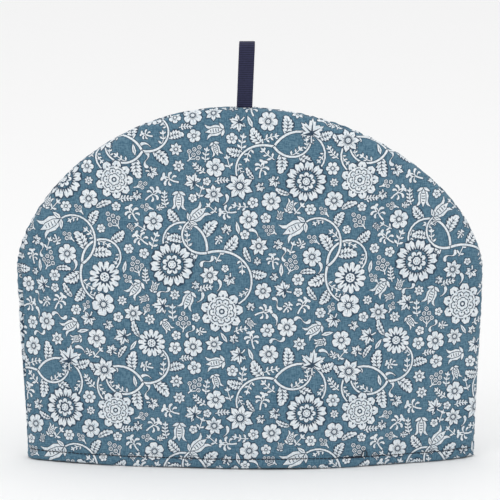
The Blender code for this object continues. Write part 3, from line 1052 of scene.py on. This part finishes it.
# The ribbon's two faces. Columns: middle of its strip on the bake map, side of the middle line
RIBBON_FACES = ((0.25, 1.0), (0.75, -1.0))


def loop_path():
    """Side view (y, z) of the ribbon's middle line: up the front leg, over the bend, down the back."""
    pinch = RIBBON_THICKNESS / 2 + CLEARANCE / 2
    bend_z = DOME_HEIGHT + LOOP_HEIGHT - RIBBON_THICKNESS / 2 - LOOP_HALF_GAP
    z = np.linspace(DOME_HEIGHT - LOOP_DEPTH_IN_SEAM, bend_z, LEG_POINTS)
    rise = np.clip((z - DOME_HEIGHT) / (bend_z - DOME_HEIGHT), 0.0, 1.0)
    half = pinch + (LOOP_HALF_GAP - pinch) * (0.5 - 0.5 * np.cos(math.pi * rise ** 0.8))
    turn = np.linspace(0, math.pi, BEND_POINTS)[1:-1]
    bend = np.stack([-LOOP_HALF_GAP * np.cos(turn), bend_z + LOOP_HALF_GAP * np.sin(turn)], axis=1)
    return np.concatenate([np.stack([-half, z], axis=1), bend, np.stack([half, z], axis=1)[::-1]])


def evenly(path, count):
    """A path's points spaced evenly along its length, and that length."""
    run = np.concatenate([[0.0], np.cumsum(np.hypot(*np.diff(path, axis=0).T))])
    at = np.linspace(0.0, run[-1], count)
    return np.stack([np.interp(at, run, path[:, 0]), np.interp(at, run, path[:, 1])], axis=1), run[-1]


RIBS = int(evenly(loop_path(), 2)[1] / RIB_PITCH)


def make_ribbon(material):
    """The loop as a closed, ribbed strip with flat woven edges, and its length."""
    count, wide = RIBS * STEPS_PER_RIB + 1, len(RIBBON_COLUMNS)
    line, length = evenly(loop_path(), count)
    out = left_of(unit(np.gradient(line, axis=0)))
    ribs = 0.5 + 0.5 * np.cos(2 * math.pi * np.arange(count) / STEPS_PER_RIB)
    across, strength = np.array(RIBBON_COLUMNS).T
    half = RIBBON_THICKNESS / 2 - RIB_HEIGHT * (1.0 - ribs[:, None] * strength)
    half[:, np.abs(across) == 1.0] = RIBBON_THICKNESS * WOVEN_EDGE
    sides, maps = [], []
    for centre, sign in RIBBON_FACES:
        y, z = line.T[..., None] + out.T[..., None] * (sign * half)
        x = LOOP_CENTRE_X + RIBBON_WIDTH / 2 * across + LOOP_LEAN * np.maximum(z - DOME_HEIGHT, 0.0)
        sides.append(np.stack([x, y, z], axis=-1))
        upwards = RIBBON_MAP_LOW + RIBBON_MAP_LENGTH * np.arange(count) / (count - 1)
        sideways = centre + RIBBON_MAP_HALF * across
        maps.append(np.stack(np.broadcast_arrays(sideways, upwards[:, None]), axis=-1))
    index = np.arange(2 * count * wide).reshape(2, count, wide)
    grids = (index[0], index[1].T, index[:, :, 0], index[:, :, -1].T, index[:, 0].T, index[:, -1])
    faces = np.concatenate([quads(grid) for grid in grids])
    corners = np.reshape(sides, (-1, 3)).tolist()
    uv = np.reshape(maps, (-1, 2))[faces]
    return add_mesh("ribbon_strip", corners, faces.tolist(), [material], uv=uv), length


# ---- materials

SLUB_LONG, SLUB_SHORT = 260.0, 1300.0  # slubs are long along their thread and short across it
SLUB_CONTRAST = 4.6
FADING_SCALE = 42.0
# the weave's share paints shade into the hollows between a cotton's threads and light onto their crests
FADING_SHARE, PAINTED_WEAVE_SHADE = 0.9, 0.16  # of the shade of a cotton
CROSSED_SHARE, LIFTED_SHARE = 0.5, 0.35  # of the height of a weave
LEAST_ROUGHNESS, SLUB_ROUGHNESS = 0.70, 0.15
# the yarns' and the ribs' shares paint shade between the ribbon's yarns and ribs and light on their crests
PAINTED_YARN_SHADE_SHARE, NOISE_SHARE, PAINTED_RIB_LIGHT_SHARE = 0.12, 0.9, 0.40  # of the shade of the ribbon
YARN_PITCH = 0.0005  # of the ribbon's lengthwise yarns
BLUE_LOW, BLUE_HIGH = (0.050, 0.130, 0.200, 1.0), (0.116, 0.222, 0.298, 1.0)
# Cottons, in the order of a panel's materials. Columns: name, darkest, palest, threads, on the bake map
COTTONS = (
    ("cotton_blue", BLUE_LOW, BLUE_HIGH, 1500.0, True),
    ("print_white", (0.63, 0.71, 0.77, 1.0), (0.85, 0.88, 0.90, 1.0), 1500.0, True),
    ("print_line", (0.022, 0.046, 0.080, 1.0), (0.045, 0.080, 0.125, 1.0), 1500.0, True),
    ("lining_cotton", (0.62, 0.59, 0.52, 1.0), (0.76, 0.73, 0.66, 1.0), 1100.0, False),
    ("cotton_turned_up", BLUE_LOW, BLUE_HIGH, 1500.0, False),
)
# Darkest and palest colours of the rest
RIBBON_COLOURS = (0.008, 0.009, 0.030, 1.0), (0.032, 0.034, 0.090, 1.0)
THREAD_COLOURS = (0.006, 0.010, 0.022, 1.0), (0.016, 0.024, 0.045, 1.0)
FLOOR_COLOURS = (0.93, 0.93, 0.93, 1.0), (0.95, 0.95, 0.95, 1.0)


class Graph:
    """Adds nodes to a material or world. An input's value is a constant or another node's output."""

    def __init__(self, owner):
        owner.use_nodes = True
        self.nodes, self.links = owner.node_tree.nodes, owner.node_tree.links

    def put(self, node, values):
        for name, value in values.items():
            if isinstance(value, bpy.types.NodeSocket):
                self.links.new(value, node.inputs[name])
            else:
                node.inputs[name].default_value = value

    def add(self, kind, values, **settings):
        """The outputs of a new node with these inputs and settings."""
        node = self.nodes.new("ShaderNode" + kind)
        for name, setting in settings.items():
            setattr(node, name, setting)
        self.put(node, values)
        return node.outputs

    def math(self, operation, *values):
        return self.add("Math", dict(enumerate(values)), operation=operation)[0]

    def plus(self, base, value, factor):
        """A value times a factor, added to a base."""
        return self.math("ADD", base, self.math("MULTIPLY", value, factor))

    def mixed(self, share, low, high):
        """A colour between two, by a share."""
        return self.add("Mix", {0: share, 6: low, 7: high}, data_type="RGBA")[2]

    def speckle(self, place, scales):
        """Noise stretched differently along each axis, near 0.5."""
        stretched = self.add("VectorMath", {0: place, 1: scales}, operation="MULTIPLY")
        return self.add("TexNoise", {"Scale": 1.0, "Detail": 3.0, "Vector": stretched[0]})[0]

    def woven(self, place, threads, axes):
        """The height of a plain weave of two crossed sets of threads."""
        split = self.add("SeparateXYZ", {0: place})
        waves = [self.math("SINE", self.math("MULTIPLY", split[axis], threads * math.pi)) for axis in axes]
        crossed = self.math("MULTIPLY", self.math("MULTIPLY", *waves), CROSSED_SHARE)
        lifted = self.math("ADD", *[self.math("ABSOLUTE", wave) for wave in waves])
        return self.plus(crossed, lifted, LIFTED_SHARE)


def start_material(name, roughness, sheen):
    """A Principled material: (material, graph, shader)."""
    material = bpy.data.materials.new(name)
    graph = Graph(material)
    shader = graph.nodes["Principled BSDF"]
    graph.put(shader, {"Roughness": roughness, "Sheen Weight": sheen, "Sheen Roughness": 0.5,
                       "Specular IOR Level": 0.25})
    return material, graph, shader


def cloth_material(name, low, high, threads, on_map):
    """Cotton: a fine plain weave, uneven dye or ink, and slow fading between two colours, with painted shade
    in the weave's hollows and painted highlight on its crests.
    """
    material, graph, shader = start_material(name, 0.86, 0.12)
    spots, axes = graph.add("TexCoord", {}), (0, 2)
    place = spots["Object"]
    if on_map:
        axes = (0, 1)
        place = graph.add("VectorMath", {0: spots["UV"], "Scale": MAP_SIZE}, operation="SCALE")[0]
    height = graph.woven(place, threads, axes)
    slow = graph.speckle(place, (FADING_SCALE,) * 3)
    slubs = graph.math("ADD", *[
        graph.speckle(place, tuple(SLUB_LONG if axis == along else SLUB_SHORT for axis in range(3)))
        for along in axes])
    share = graph.plus(graph.math("MULTIPLY", slow, FADING_SHARE), slubs, SLUB_CONTRAST)
    # painted shade and highlight: the colour is paler where the weave's threads rise and darker in the
    # hollows between them
    share = graph.plus(graph.math("SUBTRACT", share, SLUB_CONTRAST), height, PAINTED_WEAVE_SHADE)
    rough = graph.math("ADD", graph.math("MULTIPLY", slubs, SLUB_ROUGHNESS), LEAST_ROUGHNESS)
    raised = graph.add("Bump", {"Strength": 0.25, "Distance": 0.0002, "Height": height})
    graph.put(shader, {"Base Color": graph.mixed(share, low, high), "Normal": raised[0], "Roughness": rough})
    return material


def ribbon_material():
    """Grosgrain: dark navy with a violet cast, with painted highlight on the ribs and painted shade between
    ribs and between yarns, plain along the woven edges.
    """
    material, graph, shader = start_material("ribbon_navy", 0.60, 0.05)
    spots = graph.add("TexCoord", {})
    noise = graph.add("TexNoise", {"Scale": 700.0, "Detail": 3.0, "Vector": spots["Object"]})[0]
    sideways = graph.add("SeparateXYZ", {0: spots["Object"]})[0]
    # painted shade between the lengthwise yarns, paler on each yarn's crest
    yarns = graph.math("SINE", graph.math("MULTIPLY", sideways, 2 * math.pi / YARN_PITCH))
    risen = graph.math("SUBTRACT", graph.add("SeparateXYZ", {0: spots["UV"]})[1], RIBBON_MAP_LOW)
    # painted highlight on each rib's crest and painted shade in its troughs, in step with the strip's raised
    # ribs
    painted_rib_light = graph.math("COSINE", graph.math("MULTIPLY", risen, 2 * math.pi * RIBS / RIBBON_MAP_LENGTH))
    share = graph.plus(graph.math("MULTIPLY", yarns, PAINTED_YARN_SHADE_SHARE), noise, NOISE_SHARE)
    share = graph.plus(share, painted_rib_light, PAINTED_RIB_LIGHT_SHARE)
    raised = graph.add("Bump", {"Strength": 0.3, "Distance": 0.0001, "Height": yarns})
    graph.put(shader, {"Base Color": graph.mixed(share, *RIBBON_COLOURS), "Normal": raised[0]})
    return material


def thread_material():
    """Dark polyester thread with a twist in its shade."""
    material, graph, shader = start_material("thread_navy", 0.5, 0.1)
    place = graph.add("TexCoord", {})["Object"]
    wave = graph.add("TexWave", {"Scale": 1800.0, "Distortion": 0.6, "Vector": place},
                     bands_direction="DIAGONAL")
    graph.put(shader, {"Base Color": graph.mixed(wave["Fac"], *THREAD_COLOURS)})
    return material


def floor_material():
    """A pale, nearly even floor."""
    material, graph, shader = start_material("studio_floor", 0.9, 0.0)
    noise = graph.add("TexNoise", {"Scale": 3.0})[0]
    graph.put(shader, {"Base Color": graph.mixed(noise, *FLOOR_COLOURS)})
    return material


# ---- camera, light and floor

CAMERA_DISTANCE = 4.50
CAMERA_ELEVATION = 10.6  # degrees above level
CAMERA_AZIMUTH = -0.8  # degrees towards -X
TARGET = Vector((0.0002, 0.0, 0.1622))
FRAME_WIDTH = 0.3844  # what the picture spans at the target
SENSOR = 36.0
FARTHEST_SEEN, FLOOR_SIZE = 60.0, 30.0
# Soft lights. Columns: name, place, size across, watts, aimed at the middle of the cosy
LIGHTS = (
    ("key", (-1.3, -1.9, 1.9), 1.6, 10.0),
    ("fill", (1.7, -1.5, 1.2), 1.8, 3.5),
    ("top", (0.1, 0.5, 2.4), 1.8, 5.0),
)
HORIZON_STRENGTH, ZENITH_STRENGTH = 0.46, 1.16


def add_aimed(name, data, spot):
    """A camera or lamp at a spot, turned to the middle of the cosy."""
    added = add_object(name, data)
    added.location = spot
    added.rotation_euler = (TARGET - Vector(spot)).to_track_quat("-Z", "Y").to_euler()
    return added


def make_camera():
    up, round_it = math.radians(CAMERA_ELEVATION), math.radians(CAMERA_AZIMUTH)
    way = Vector((math.sin(round_it) * math.cos(up), -math.cos(round_it) * math.cos(up), math.sin(up)))
    lens = bpy.data.cameras.new("camera")
    lens.sensor_fit = "HORIZONTAL"
    lens.sensor_width = SENSOR
    lens.lens = SENSOR * CAMERA_DISTANCE / FRAME_WIDTH
    lens.clip_end = FARTHEST_SEEN
    bpy.context.scene.camera = add_aimed("camera", lens, TARGET + way * CAMERA_DISTANCE)


def make_lights():
    for name, spot, size, watts in LIGHTS:
        lamp = bpy.data.lights.new(name, "AREA")
        lamp.shape = "DISK"
        lamp.size = size
        lamp.energy = watts
        add_aimed(name, lamp, spot)
    world = bpy.data.worlds.new("studio")
    graph = Graph(world)
    height = graph.add("SeparateXYZ", {0: graph.add("TexCoord", {})["Generated"]})[2]
    risen = graph.math("MULTIPLY", graph.math("MAXIMUM", height, 0.0), ZENITH_STRENGTH - HORIZON_STRENGTH)
    graph.put(graph.nodes["Background"], {"Color": (1.0, 1.0, 1.0, 1.0),
                                          "Strength": graph.math("ADD", risen, HORIZON_STRENGTH)})
    bpy.context.scene.world = world
    bpy.context.scene.view_settings.view_transform = "Standard"


def make_floor():
    bpy.ops.mesh.primitive_grid_add(x_subdivisions=8, y_subdivisions=8, size=FLOOR_SIZE)
    floor = bpy.context.active_object
    floor.name = "studio_floor"
    floor.data.materials.append(floor_material())


# ---- putting it together

# Panels. Columns: name, facing, CAD node, material slot, its stitched line
PANELS = (
    ("front_panel_cloth", -1, "front_panel", "front_cloth", "front_hem_stitches"),
    ("back_panel_cloth", 1, "back_panel", "back_cloth", "back_hem_stitches"),
)


def dress():
    """The camera, light and floor, then every piece of the cosy."""
    make_camera()
    make_lights()
    make_floor()
    materials = [cloth_material(*row) for row in COTTONS]
    thread = thread_material()
    repeat = fillable(draw_repeat())
    for name, facing, node, slot, stitches in PANELS:
        panel = make_panel(name, facing, repeat, materials)
        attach(panel, "root")
        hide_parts(node)
        sewn = make_stitches(stitches, facing, thread)
        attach(sewn, "root")
    ribbon, length = make_ribbon(ribbon_material())
    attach(ribbon, "root")
    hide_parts("ribbon_loop")


dress()
